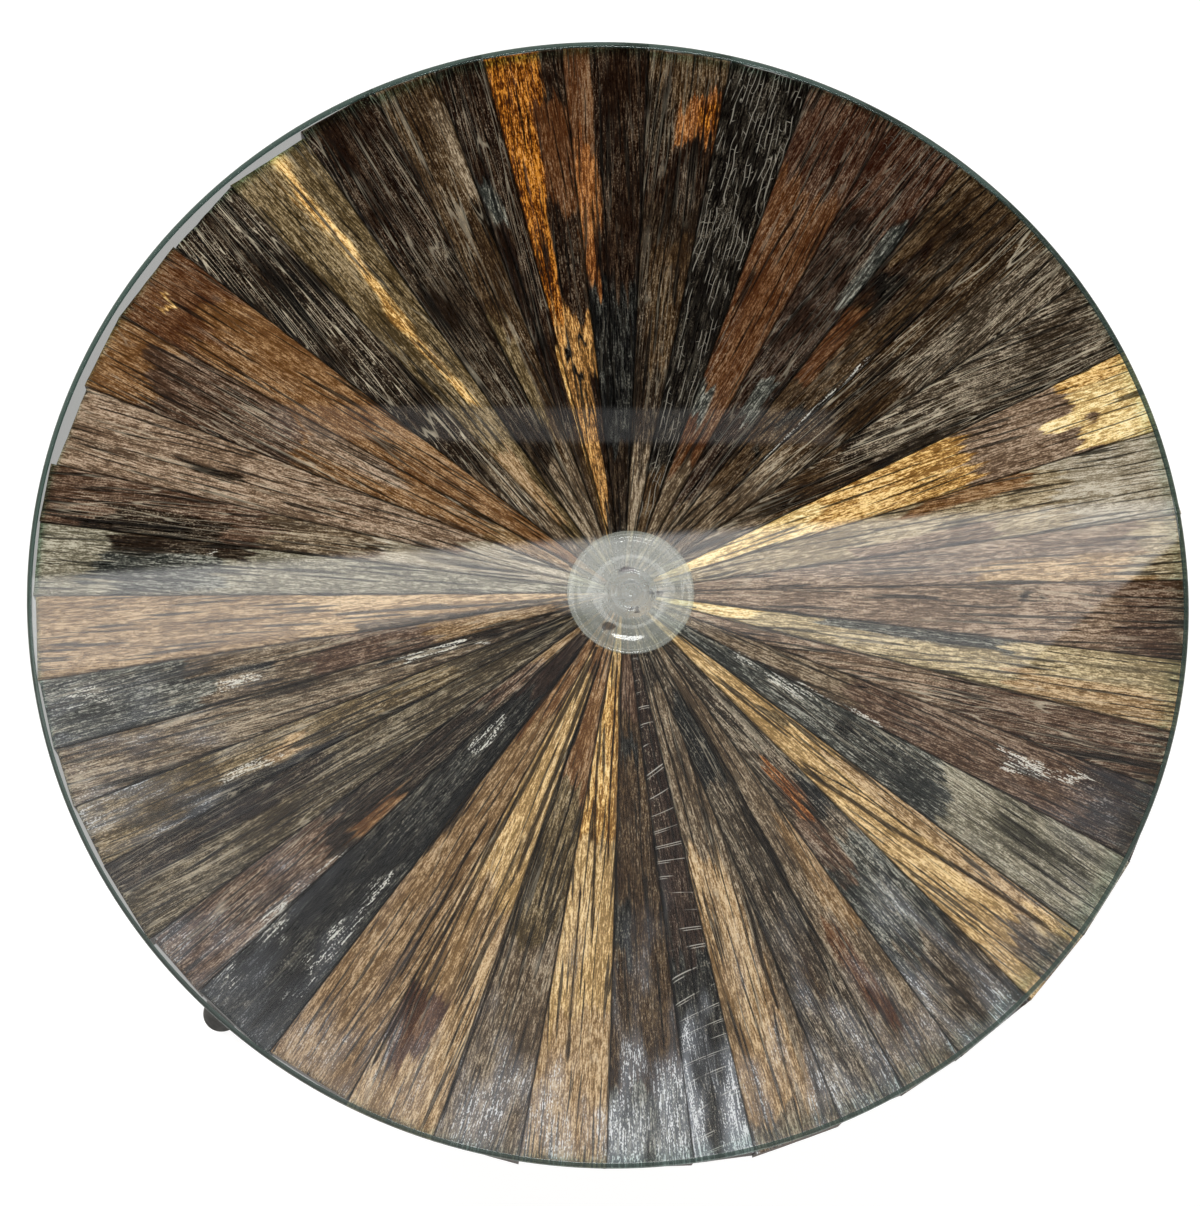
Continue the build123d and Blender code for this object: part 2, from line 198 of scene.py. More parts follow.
WHOLE_WIDTH = (-2.0, 2.0)
FINISHES = [
    Finish("mauve", 0.7, -0.03, [("tan", 0.62, 0.95, -2, -0.1), ("linen", 0.92, 1.1)]),
    Finish("linen", 0.55, -0.04, [
        ("brown", 0.5, 0.76, 0.45, 2), ("mauve", 0.4, 0.66, -2, -0.3), ("pearl", 0.8, 1.1),
    ]),
    Finish("gold", 0.5, -0.05, [
        ("straw", 0, 0.36), ("mauve", 0.64, 0.86), ("straw", 0.86, 1.1, -2, 0.6),
    ]),
    Finish("umber", 1.4, -0.13, [("taupe", 0, 0.3), ("walnut", 0.3, 0.46), ("ash", 0.5, 1.1)]),
    Finish("walnut", 1.1, 0.05, [("taupe", 0, 0.4), ("ash", 0.62, 1.1, -1.2, 0.2)]),
    Finish("walnut", 0.5, -0.05, [
        ("taupe", 0, 0.24), ("cocoa", 0.65, 0.8, -0.2, 2), ("black", 0.42, 0.46, -0.8, 0.2),
        ("black", 0.33, 0.36, -0.6, 0.1), ("chestnut", 0.48, 0.64, 0.2, 2),
        ("black", 0.68, 0.76, 0.1, 0.9), ("umber", 0.83, 0.9, -0.5, 0),
        ("glint_streaks", 0.24, 0.6, -2, -0.86),
    ]),
    Finish("maroon", 0.65, -0.07, [
        ("slate", 0.66, 0.8, -1, -0.55), ("slate", 0.37, 0.45, -0.8, 0.2), ("taupe", 0, 0.2),
        ("cherry", 0.82, 1.1),
    ], checks=(0.3, 14, 6)),
    Finish("chestnut", 0.55, -0.06, [
        ("taupe", 0, 0.22), ("slate", 0.31, 0.4, 0.1, 2), ("cherry", 0.82, 1.1),
    ]),
    Finish("black", 0.4, 0, [("walnut", 0, 0.22)], checks=(0.8, 22, 3.3)),
    Finish("umber", 0.6, 0, [
        ("taupe", 0, 0.25), ("rust", 0.82, 0.93, -2, 0.2), ("walnut", 0.42, 0.62, -2, 0.6),
        ("cocoa", 0.7, 0.82), ("walnut", 0.93, 1.1), ("orange", 0.84, 0.89, -1.2, -0.5),
    ], knots=[(0.475, -0.3, 9)]),
    Finish("cocoa", 0.4, 0, [
        ("char", 0, 0.535), ("rust", 0.54, 0.82, 0.45, 2), ("chestnut", 0.82, 1.1, 0.5, 2),
        ("umber", 0, 0.22),
    ], [(0.3, 0.99, 0.22, 0.18, 0.7)]),
    Finish("orange", 0.4, -0.02, [
        ("amber", 0, 0.5), ("cocoa", 0.5, 0.72, -2, 0.3), ("cocoa", 0.72, 1.1, -2, -0.35),
        ("chestnut", 0.7, 0.88, -2, 0), ("black", 0.315, 0.335, -0.3, 0.4),
        ("black", 0.36, 0.4, -0.1, 0.5), ("black", 0.42, 0.48, 0.3, 0.9),
        ("black", 0.42, 0.45, -0.6, -0.1), ("cocoa", 0, 0.36, -2, -0.5), ("umber", 0, 0.15),
    ]),
    Finish("cocoa", 0.75, -0.03, [
        ("gold", 0, 0.4, -2, -0.65), ("slate", 0.68, 0.74, 0, 0.8), ("walnut", 0, 0.3, -0.6, 2),
    ], [(0.4, 0.99, 0.5, 0.3, 0.8)]),
    Finish("walnut", 0.75, 0.03, [
        ("taupe", 0, 0.26), ("olive", 0.3, 0.5, -0.1, 2), ("taupe", 0.78, 0.92, -0.9, -0.4),
    ]),
    Finish("umber", 0.75, 0.03, [("taupe", 0, 0.24), ("cocoa", 0.72, 1.1)]),
    Finish("olive", 0.7, 0.03, [("tawny", 0.12, 0.36, -0.2, 2), ("gold", 0.45, 1.1, -0.25, 0.05)]),
    Finish("umber", 1.4, -0.14, [("taupe", 0, 0.3)]),
    Finish("brown", 0.6, 0.02, [("chestnut", 0.84, 1.1), ("gold", 0.945, 0.965, 0, 0.45)]),
    Finish("brown", 0.95, -0.05, [
        ("mauve", 0.45, 0.6, -2, 0.2), ("tawny", 0, 0.24), ("russet", 0.62, 0.88),
    ]),
    Finish("mauve", 0.8, 0.02, [("pearl", 0, 0.26), ("umber", 0.68, 0.8, -0.1, 0.25)]),
    Finish("russet", 0.95, 0.06, [
        ("pearl", 0, 0.42), ("umber", 0.68, 0.92, 0, 2), ("taupe", 0.42, 0.6),
    ]),
    Finish("silver", 0.5, -0.02, [
        ("umber", 0.62, 0.86, -2, -0.35), ("slate", 0.7, 0.88, -0.4, 0.9),
        ("glint_streaks", 0.7, 0.72, -0.7, -0.5),
    ]),
    Finish("tan", 0.45, -0.01, [("taupe", 0.15, 0.45, 0.5, 2), ("tawny", 0.55, 1.1)]),
    Finish("slate", 0.8, 0.04, [
        ("tawny", 0, 0.32), ("russet", 0.32, 0.52), ("taupe", 0.52, 0.74),
        ("char", 0.62, 0.8, -0.2, 0.15), ("glint_streaks", 0.9, 0.95, -0.6, 0.2),
        ("glint_streaks", 0.66, 0.74, 0.25, 0.6),
    ], sheen=0.3),
    Finish("taupe", 0.9, -0.05, [
        ("umber", 0.1, 0.42, -2, 0.3), ("glint_streaks", 0.3, 0.42, -0.7, 0), ("glint_streaks", 0.16, 0.24, 0.2, 0.9),
    ], sheen=0.45),
    Finish("olive", 0.9, -0.02, [
        ("bark", 0.1, 0.3), ("black", 0.5, 0.82, 0.6, 2), ("tan", 0.6, 0.68, -0.3, 0.5),
        ("glint_streaks", 0.64, 0.84, 0.1, 0.5),
    ], sheen=0.5),
    Finish("bark", 0.95, -0.04, [("umber", 0.6, 1.1, -2, -0.2)], sheen=0.1),
    Finish("russet", 0.85, 0, [
        ("tawny", 0, 0.2), ("umber", 0.3, 0.66), ("brown", 0.5, 0.6, 0.2, 2),
        ("glint_streaks", 0.62, 0.9, 0.7, 2),
    ], sheen=0.4),
    Finish("char", 0.5, 0, [
        ("maroon", 0, 0.22), ("glint_streaks", 0.64, 0.88, 0.3, 0.8), ("glint_streaks", 0.8, 0.95, -1.2, -0.5),
        ("glint_streaks", 0.3, 0.4, -0.6, 0.2),
    ], sheen=0.25),
    Finish("tawny", 0.55, 0, [
        ("brown", 0, 0.25),
    ], [
        (0.1, 0.6, -0.82, -0.9, 1.1), (0.44, 0.8, 0.5, 0.62, 0.8), (0.62, 0.85, 0.3, 0.4, 0.6),
    ], sheen=0.35),
    Finish("honey", 0.8, 0, [
        ("tan", 0.58, 1.1), ("chestnut", 0.74, 0.9, -2, 0.2), ("brown", 0, 0.14),
    ], [
        (0.1, 0.55, 0.6, 0.66, 1.3), (0.1, 0.95, -0.6, -0.9, 1.4), (0.55, 0.8, 0.3, 0.35, 0.8),
    ], sheen=0.32),
    Finish("taupe", 0.65, -0.03, [
        ("brown", 0, 0.36), ("olive", 0.36, 0.62),
    ], [
        (0.1, 0.99, -0.85, -0.95, 1), (0.7, 0.74, 0.3, 0.5, 1.3), (0.3, 0.6, 0.2, -0.1, 0.7),
    ], sheen=0.6),
    Finish("honey", 0.6, 0.02, [
        ("gold", 0.12, 0.42), ("tan", 0.75, 1.1),
    ], [
        (0.25, 0.62, -0.75, 0.1, 0.9), (0.5, 0.85, -0.6, -0.2, 0.8), (0.1, 0.5, 0.4, 0.6, 0.6),
    ], sheen=0.75),
    Finish("russet", 0.35, 0, [
        ("walnut", 0.2, 0.9), ("char", 0.24, 0.3, -0.9, 0.6), ("char", 0.55, 0.67, -1, -0.3),
        ("slate", 0.86, 1.1),
    ], sheen=0.95),
    Finish("maroon", 0.4, 0, [
        ("char", 0.66, 1.1),
    ], [(0.6, 1, 0.1, 0, 0.8)], sheen=1.4, strokes=0.65),
    Finish("taupe", 0.85, -0.03, [
        ("tan", 0.5, 0.95, -2, 0.6), ("umber", 0.1, 0.16),
    ], [
        (0.55, 0.8, 0.95, 0.55, 1.4), (0.74, 0.95, 0.5, 0.2, 0.9), (0.15, 0.5, -0.3, -0.5, 0.6),
    ], sheen=0.6),
    Finish("ash", 0.9, 0.03, [
        ("char", 0.2, 0.37), ("walnut", 0.7, 0.84, -0.4, 0.2),
    ], [(0.4, 0.7, 0.85, 0.95, 1.4)], sheen=0.6),
    Finish("taupe", 0.75, -0.02, [
        ("tawny", 0.46, 0.7, 0, 2), ("chestnut", 0.72, 0.86, -0.7, 0.1),
    ], [(0.2, 0.6, -0.7, -0.95, 1.2)], sheen=0.45),
    Finish("ash", 0.85, 0.05, [
        ("rust", 0.42, 0.5, -0.6, 0.3), ("char", 0.47, 0.54, 0.1, 2), ("russet", 0.5, 0.62, -2, 0),
        ("slate", 0.62, 0.8),
    ], sheen=0.75),
    Finish("honey", 0.65, 0.05, [
        ("taupe", 0.88, 1.1, -0.5, 0.6), ("olive", 0.3, 0.36, 0.1, 0.6), ("tan", 0.45, 0.9, 0.35, 2),
    ], [(0.41, 0.97, -0.97, 0.6, 1.5), (0.4, 0.7, -0.8, 0.4, 0.6)], sheen=0.2),
    Finish("silver", 0.95, -0.04, [
        ("slate", 0, 0.66), ("char", 0.44, 0.47, -0.5, 0.6), ("glint_streaks", 0.2, 0.38, 0.2, 0.9),
    ], sheen=0.2),
    Finish("russet", 0.55, 0, [
        ("taupe", 0, 0.42), ("glint_streaks", 0.72, 0.8, -0.2, 0.5), ("glint_streaks", 0.8, 0.88, 0.2, 0.7),
        ("maroon", 0.88, 1.1), ("glint_streaks", 0.12, 0.5, -2, -0.85),
    ], [(0.41, 0.48, 0.1, 0.8, 0.8)], sheen=0.2),
    Finish("mauve", 1.1, 0.12, [("umber", 0.84, 0.92, 0.5, 2), ("russet", 0.6, 1.1)]),
    Finish("wheat", 0.85, 0.06, [
        ("straw", 0.1, 0.24), ("slate", 0.34, 0.7, 0.35, 2), ("tan", 0.7, 1.1, -2, 0),
    ]),
    Finish("mauve", 0.7, 0.02, [("russet", 0.88, 1.1)], knots=[(0.72, 0.55, 13)]),
]


# -------- wiring materials --------

class Wiring:
    """A material or a world being wired, with one short call for each kind of node."""

    def __init__(self, name, world=None):
        self.material = world or bpy.data.materials.new(name)
        self.material.use_nodes = True
        self.tree = self.material.node_tree
        self.shader = self.tree.nodes["Background" if world else "Principled BSDF"]
        self.output = self.tree.nodes["World Output" if world else "Material Output"]

    def put(self, socket, value):
        """Links another node's output to a socket, or sets the socket's own value."""
        if isinstance(value, bpy.types.NodeSocket):
            self.tree.links.new(value, socket)
        else:
            socket.default_value = value

    def node(self, kind, inputs=(), **settings):
        """A shader node of this kind, with its inputs linked or set and its settings made."""
        made = self.tree.nodes.new("ShaderNode" + kind)
        for name, value in settings.items():
            setattr(made, name, value)
        for name, value in dict(inputs).items():
            self.put(made.inputs[name], value)
        return made

    def set(self, **inputs):
        """Sets the main shader's inputs, with spaces written as underscores."""
        for name, value in inputs.items():
            self.put(self.shader.inputs[name.replace("_", " ")], value)

    def math(self, operation, first, second=0.0, third=0.0, clamp=False):
        made = self.node("Math", operation=operation, use_clamp=clamp)
        for socket, value in zip(made.inputs, (first, second, third)):
            self.put(socket, value)
        return made.outputs[0]

    def times(self, first, *others):
        """The product of all these values."""
        for other in others:
            first = self.math("MULTIPLY", first, other)
        return first

    def scaled(self, value, factor, offset):
        return self.math("MULTIPLY_ADD", value, factor, offset)

    def total(self, *terms, start=0.0):
        """A sum of (value, weight) terms, counted from start."""
        for value, weight in terms:
            start = self.scaled(value, weight, start)
        return start

    def opposite(self, share):
        return self.math("SUBTRACT", 1.0, share)

    def off(self, value, middle):
        """How far a value is from the middle one."""
        return self.math("ABSOLUTE", self.math("SUBTRACT", value, middle))

    def vector(self, operation, first, second):
        made = self.node("VectorMath", operation=operation)
        self.put(made.inputs[0], first)
        self.put(made.inputs[1], second)
        return made.outputs[0]

    def parts(self, vector):
        """A vector's X, Y and Z."""
        return self.node("SeparateXYZ", {"Vector": vector}).outputs

    def length(self, vector):
        return self.node("VectorMath", {0: vector}, operation="LENGTH").outputs["Value"]

    def own_place(self, location=(0, 0, 0), turn=0.0):
        """The piece's own coordinates, moved and turned about Z."""
        place = self.node("TexCoord").outputs["Object"]
        rotation = (0, 0, turn)
        inputs = {"Vector": place, "Location": location, "Rotation": rotation}
        return self.node("Mapping", inputs, vector_type="TEXTURE").outputs[0]

    def noise(self, place, stretch, detail=3.0, rough=0.55, seed=0.0):
        """Noise with so many cells to the metre each way, and a seed that moves it elsewhere."""
        scaled = self.vector("MULTIPLY", place, stretch)
        moved = self.vector("ADD", scaled, (seed, seed * 0.7, seed * 1.3))
        inputs = {"Vector": moved, "Scale": 1.0, "Detail": detail, "Roughness": rough}
        return self.node("TexNoise", inputs).outputs[0]

    def rise(self, value, start, stop):
        """0 before start, 1 after stop and smooth between them. Start may be the larger."""
        inputs = {"Value": value, "From Min": start, "From Max": stop}
        made = self.node("MapRange", inputs, interpolation_type="SMOOTHSTEP")
        return made.outputs[0]

    def sparks(self, share, grains):
        """Grains that are many and bright where the share is high and thin out where it is low."""
        lifted = self.scaled(share, 0.12, grains)
        return self.times(self.rise(lifted, 0.58, 0.67), self.rise(share, 0.0, 0.45))

    def ramp(self, value, stops):
        """A colour that runs through (position, colour) stops."""
        made = self.node("ValToRGB", {"Fac": value})
        elements = made.color_ramp.elements
        while len(elements) < len(stops):
            elements.new(0.5)
        for element, (position, colour) in zip(elements, stops):
            element.position = position
            element.color = colour
        return made.outputs[0]

    def blend(self, share, first, second):
        """The first colour where share is 0 and the second where it is 1."""
        made = self.node("Mix", data_type="RGBA")
        self.put(made.inputs[0], share)
        self.put(made.inputs[6], first)
        self.put(made.inputs[7], second)
        return made.outputs[2]

    def two_tone(self, value, low, high):
        """A colour that runs from one to the other over the middle of the value's range."""
        return self.ramp(value, [(0.3, linear(*low)), (0.7, linear(*high))])

    def bump(self, height, depth, strength):
        """A normal bent by a height from 0 to 1 that stands for this depth."""
        inputs = {"Height": height, "Distance": depth, "Strength": strength}
        return self.node("Bump", inputs).outputs[0]

    def clear_where(self, share, colour=(1, 1, 1, 1)):
        """Lets light go straight through, tinted, where the share is 1."""
        film = self.node("BsdfTransparent", {"Color": colour})
        mix = self.node("MixShader", {"Fac": share})
        self.put(mix.inputs[1], self.shader.outputs[0])
        self.put(mix.inputs[2], film.outputs[0])
        self.put(self.output.inputs["Surface"], mix.outputs[0])


# -------- the staves --------

class Plan:
    """A stave's plan as the frame has it: its end's corners, its tip and the way it runs."""

    def __init__(self, node):
        corners = np.array([vertex.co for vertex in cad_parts[node].data.vertices])
        self.bottom = corners[:, 2].min()
        self.top = corners[:, 2].max()
        low = np.unique(np.round(corners[corners[:, 2] < self.bottom + 0.1 * MM][:, :2], 6), axis=0)
        hub = np.array(pad_center[:2])
        away = np.linalg.norm(low - hub, axis=1)
        middle = low[away > 0.8 * away.max()].mean(0)
        way = (middle - hub) / np.linalg.norm(middle - hub)
        side = (low - hub) @ np.array([-way[1], way[0]])
        outer = low[np.argsort(away)[-2:]]
        outer_side = (outer - hub) @ np.array([-way[1], way[0]])
        self.right_end, self.left_end = outer[np.argsort(outer_side)]
        near = away < 0.5 * away.max()
        self.right_start = low[near][np.argmin(side[near])]
        self.left_start = low[near][np.argmax(side[near])]
        self.hub_radius = away[near].mean()
        self.tip = self.crossing()
        run = (self.right_end + self.left_end) / 2 - self.tip
        self.reach = float(np.linalg.norm(run))
        self.angle = math.atan2(run[1], run[0])
        half_end = np.linalg.norm(self.left_end - self.right_end) / 2
        self.half_slope = float(half_end / self.reach)

    def crossing(self):
        """Where the lines of the two sides meet."""
        right = self.right_end - self.right_start
        left = self.left_end - self.left_start
        gap = self.left_start - self.right_start
        share = (gap[0] * left[1] - gap[1] * left[0]) / (right[0] * left[1] - right[1] * left[0])
        return self.right_start + share * right

    def start(self, end):
        """Where lines from the tip to these points of the end leave the hub's hole."""
        way = end - self.tip
        way = way / np.linalg.norm(way, axis=1)[:, None]
        offset = self.tip - np.array(pad_center[:2])
        along = way @ offset
        inside = offset @ offset - self.hub_radius**2
        length = -along + np.sqrt(np.maximum(along**2 - inside, 0))
        return self.tip + way * length[:, None]


def smooth_noise(x, y, seed):
    """Noise from 0 to 1 on a lattice of unit cells."""
    columns, rows = noise_cells
    lattice = np.random.default_rng(seed).random(noise_cells)
    column, row = np.floor(x).astype(int), np.floor(y).astype(int)
    share_x, share_y = x - column, y - row
    share_x = share_x**2 * (3 - 2 * share_x)
    share_y = share_y**2 * (3 - 2 * share_y)

    def at(i, j):
        return lattice[(column + i) % columns, (row + j) % rows]

    near = at(0, 0) * (1 - share_x) + at(1, 0) * share_x
    far = at(0, 1) * (1 - share_x) + at(1, 1) * share_x
    return near * (1 - share_y) + far * share_y


def crest(values):
    """Sharp crests where smooth noise passes its middle, and hollows elsewhere."""
    return 1 - np.abs(2 * values - 1)


def ease(values):
    """0 below 0, 1 above 1 and smooth between them."""
    values = np.clip(values, 0, 1)
    return values * values * (3 - 2 * values)


def stave_relief(along, across, reach, finish, half_slope, seed):
    """How far old grain has worn down at these places, and how deep in a groove each one is."""
    drift = 3.0 * MM * (smooth_noise(along / 0.08, across / 0.025, seed) - 0.5)
    grain = across + drift - finish.lean * along
    coarse = crest(smooth_noise(along / 0.11, grain / 0.0066, seed + 1))
    fine = crest(smooth_noise(along / 0.06, grain / 0.0032, seed + 2))
    broad = smooth_noise(along / 0.12, grain / 0.015, seed + 3)
    hollow = np.clip((broad - 0.4) / 0.5, 0, 1)
    furrow = 1 - (0.6 * coarse**1.5 + 0.4 * fine)
    worn = finish.ridge * MM * (1.1 * furrow * (0.5 + 0.5 * hollow) + 0.4 * hollow)
    groove = np.clip(1.25 * furrow - 0.1, 0, 1) * min(finish.ridge, 1.0)
    wander = 1.4 * MM * (smooth_noise(along / 0.03, along * 0, seed + 5) - 0.5)
    for start, stop, side_start, side_stop, width in finish.cracks:
        share = np.clip((along / reach - start) / (stop - start), 0, 1)
        side = side_start + (side_stop - side_start) * np.sin(share * math.pi / 2)
        off = across - side * half_slope * along - wander
        length = ease((along / reach - start) / 0.04) * ease((stop - along / reach) / 0.04)
        cut = length * np.exp(-((off / (width * MM * (0.55 + 0.6 * length))) ** 2))
        worn = worn + crack_depth * cut
        groove = np.maximum(groove, 1.4 * cut)
    for share, side, size in finish.knots:
        from_knot = np.hypot((along - share * reach) / 1.7, across - side * half_slope * share * reach)
        bend = 6 * smooth_noise(along / 0.006, across / 0.004, seed + 8)
        swirl = 0.5 + 0.5 * np.cos(from_knot / (0.11 * size * MM) + bend)
        eye = ease(1.25 - from_knot / (0.55 * size * MM))
        worn = worn + knot_depth * eye * swirl
        groove = np.maximum(groove, eye * (0.25 + 0.75 * swirl))
    return worn, np.clip(groove, 0, 1)


def stave_block(mesh, across):
    """A closed block with its top in squares and its sides in three bands, one unit square in plan."""
    bmesh.ops.create_grid(mesh, x_segments=steps_along, y_segments=across, size=0.5)
    for face in mesh.faces:
        face.smooth = True
    rim = [edge for edge in mesh.edges if edge.is_boundary]
    for edge in rim:
        edge.smooth = False
    for _ in range(3):
        skirt = bmesh.ops.extrude_edge_only(mesh, edges=rim)["geom"]
        low = [item for item in skirt if isinstance(item, bmesh.types.BMVert)]
        bmesh.ops.translate(mesh, verts=low, vec=(0, 0, -1))
        rim = [item for item in skirt if isinstance(item, bmesh.types.BMEdge) and item.is_boundary]
    bmesh.ops.edgeloop_fill(mesh, edges=rim)
    bmesh.ops.recalc_face_normals(mesh, faces=mesh.faces)


def make_stave(node, finish, seed):
    """A stave as a closed solid whose top has the ridges, cracks and worn arrises of old wood."""
    plan = Plan(node)
    end_width = float(np.linalg.norm(plan.left_end - plan.right_end))
    mesh = bmesh.new()
    stave_block(mesh, round(end_width / step_across))
    material = stave_material(node, plan, finish, seed)
    piece = make_piece(mesh, "old_" + node, material, "table")
    count = len(piece.data.vertices)
    square = np.empty(count * 3)
    piece.data.vertices.foreach_get("co", square)
    square = square.reshape(-1, 3)
    run, cross, level = square[:, 0] + 0.5, square[:, 1] + 0.5, np.round(-square[:, 2]).astype(int)
    spread = cross - 0.11 * np.sin(2 * math.pi * cross)
    end = plan.right_end + (plan.left_end - plan.right_end) * spread[:, None]
    start = plan.start(end)
    place = start + (end - start) * run[:, None]
    way = np.array([math.cos(plan.angle), math.sin(plan.angle)])
    aside = np.array([-way[1], way[0]])
    along = (place - plan.tip) @ way
    across = (place - plan.tip) @ aside
    worn, groove = stave_relief(along, across, plan.reach, finish, plan.half_slope, seed)
    to_side = np.minimum(spread, 1 - spread) * 2 * plan.half_slope * along
    to_end = (1 - run) * np.linalg.norm(end - start, axis=1)
    to_edge = np.minimum(to_side, to_end)
    rough = 0.6 + 0.8 * smooth_noise(along / 0.018, across / 0.008, seed + 6)
    worn = worn + arris_drop * rough * np.exp(-((to_edge / (arris_width * rough)) ** 2))
    height = plan.top - worn
    from_pad = np.linalg.norm(place - np.array(pad_center[:2]), axis=1)
    height = np.where(from_pad < pad_seat_radius, np.minimum(height, pad_seat_height), height)
    groove = np.maximum(groove, 0.85 * np.exp(-((to_side / (0.8 * MM * rough)) ** 2)))
    groove = np.where(level > 0, 0.25, groove)
    bottom = np.full(count, plan.bottom)
    height = np.choose(level, [height, height - upper_band, bottom + lower_band, bottom])
    ragged = 0.6 + 0.8 * smooth_noise(along / 0.01, across / 0.01, seed + 7)
    end_inset = np.choose(level, end_insets) * ragged
    side_inset = np.minimum(np.choose(level, side_insets), 0.3 * plan.half_slope * along)
    place = place - np.outer((run > 0.999) * end_inset, way)
    place = place + np.outer(((cross < 0.001) * 1.0 - (cross > 0.999)) * side_inset, aside)
    points = np.column_stack((place, height)).ravel()
    piece.data.vertices.foreach_set("co", points)
    depth = piece.data.attributes.new("groove", "FLOAT", "POINT")
    depth.data.foreach_set("value", groove)
    piece.data.update()
    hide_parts(node)


def add_object(name, data):
    made = bpy.data.objects.new(name, data)
    bpy.context.scene.collection.objects.link(made)
    return made


def mesh_object(mesh, name, material):
    """Turns a bmesh into an object."""
    data = bpy.data.meshes.new(name)
    mesh.to_mesh(data)
    mesh.free()
    data.materials.append(material)
    return add_object(name, data)


def make_piece(mesh, name, material, body):
    """An object that rides on a body."""
    piece = mesh_object(mesh, name, material)
    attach(piece, body)
    return piece


def tone_colour(wiring, value, tone):
    dark, middle, light = (linear(*colour) for colour in TONES[tone])
    return wiring.ramp(value, [(0.25, dark), (0.5, middle), (0.8, light)])


def blend_tone(first, second, share):
    """A shader colour between two colours given in screen values."""
    return linear(*(one + share * (other - one) for one, other in zip(first, second)))


def patch_mask(wood, reach, side, start, stop, right, left):
    """Where a patch lies, from its places along and across the stave."""
    mask = wood.times(
        wood.rise(reach, start - 0.008, start + 0.012), wood.rise(reach, stop + 0.012, stop - 0.008),
    )
    if right > -1:
        mask = wood.times(mask, wood.rise(side, right - 0.1, right + 0.1))
    if left < 1:
        mask = wood.times(mask, wood.rise(side, left + 0.1, left - 0.1))
    return mask


def crest_wear_and_highlight_mask(wood, ridge, grain, cloud, shift):
    """Fine pale lines along the grain, where the hard wood stands up: worn crests, with painted
    highlight where light would catch them.
    """
    coarse = wood.noise(grain, (7, 150, 120), 0, 0.5, shift + 37)
    fine = wood.noise(grain, (11, 330, 260), 0, 0.5, shift + 43)
    coarse = wood.rise(wood.off(coarse, 0.5), 0.015, 0.003)
    fine = wood.rise(wood.off(fine, 0.5), 0.026, 0.0052)
    strength = min(0.72, 0.05 + 0.68 * max(0.0, ridge - 0.45))
    return wood.times(wood.math("MAXIMUM", coarse, fine), wood.rise(cloud, 0.32, 0.58), strength)


def check_mask(wood, checks, place, grain, cloud, shift):
    """A broken net of checks in long cells."""
    strength, length, width = checks
    jolt = wood.noise(place, (70, 120, 90), 1, seed=shift + 41)
    jolt = wood.node("CombineXYZ", {"X": jolt, "Y": cloud}).outputs[0]
    cells = wood.vector("ADD", grain, wood.vector("MULTIPLY", jolt, (0.022, 0.012, 0)))
    inputs = {
        "Vector": cells, "Scale": 1.0, "Mortar Size": 0.34 * MM, "Mortar Smooth": 0.6,
        "Brick Width": length * MM, "Row Height": width * MM,
    }
    net = wood.node("TexBrick", inputs, offset=0.37, squash=0.6, squash_frequency=3)
    gaps = wood.scaled(cloud, 0.6, wood.noise(grain, (60, 190, 150), 0, seed=shift + 47))
    return wood.times(net.outputs["Fac"], wood.rise(gaps, 0.74, 0.86), strength)


def saw_mark_mask(wood, strength, place, parts, shift):
    """Pairs of thin lines across the stave, slanting a little and broken here and there."""
    sway = wood.noise(place, (13, 5, 5), 0, seed=shift + 61)
    step = wood.math("FRACT", wood.total((sway, 6.0), (parts["X"], 76.0), (parts["Y"], 15.0)))
    few = wood.noise(place, (40, 45, 40), 1, seed=shift + 67)
    first = wood.times(wood.rise(wood.off(step, 0.4), 0.035, 0.01), wood.rise(few, 0.38, 0.52))
    second = wood.times(wood.rise(wood.off(step, 0.53), 0.03, 0.005), wood.rise(few, 0.48, 0.6))
    return wood.times(wood.math("MAXIMUM", first, second), strength)


def painted_sheen_mask(wood, sheen, grain, parts, shift):
    """Patches of painted sheen, where the varnish would catch the light, more of them near the rim."""
    patch = wood.noise(grain, (20, 60, 60), 1, 0.6, shift + 59)
    patch = wood.scaled(wood.rise(parts["X"], 0.26, 0.42), 0.24, patch)
    return wood.times(wood.rise(patch, 0.46, 0.86), sheen, wood.rise(parts["X"], 0.16, 0.34))


def end_mask(wood, angle):
    """The faces that look out along the stave."""
    way = (math.cos(angle), math.sin(angle), 0)
    facing = wood.node("TexCoord").outputs["Normal"]
    facing = wood.node("VectorMath", {0: facing, 1: way}, operation="DOT_PRODUCT")
    return wood.times(wood.rise(facing.outputs["Value"], 0.4, 0.75), 0.94)


def end_grain(wood, tone, place, cloud, seed, shift):
    """Growth rings round a pith that lies elsewhere in each stave, with pores and splits."""
    pores = wood.noise(place, (60, 700, 700), 1, 0.5, shift)
    pith = (0, 0.09 * math.sin(seed * 2.4), 0.03 + 0.05 * math.cos(seed * 1.7))
    pith = wood.vector("ADD", place, pith)
    inputs = {"Vector": pith, "Scale": 64.0, "Distortion": 4.5, "Detail": 2.0, "Detail Scale": 1.1}
    rings = wood.node("TexWave", inputs, wave_type="RINGS", rings_direction="X")
    split = wood.rise(wood.noise(place, (40, 420, 60), 1, 0.5, shift + 91), 0.62, 0.7)
    terms = [(rings.outputs["Fac"], 0.34), (pores, 1.2), (cloud, 0.4), (split, -0.7)]
    value = wood.total(*terms, start=-0.48)
    dark, middle, light = (blend_tone(colour, END_GRAIN, 0.55) for colour in TONES[tone])
    return wood.ramp(value, [(0.15, dark), (0.5, middle), (0.9, light)])


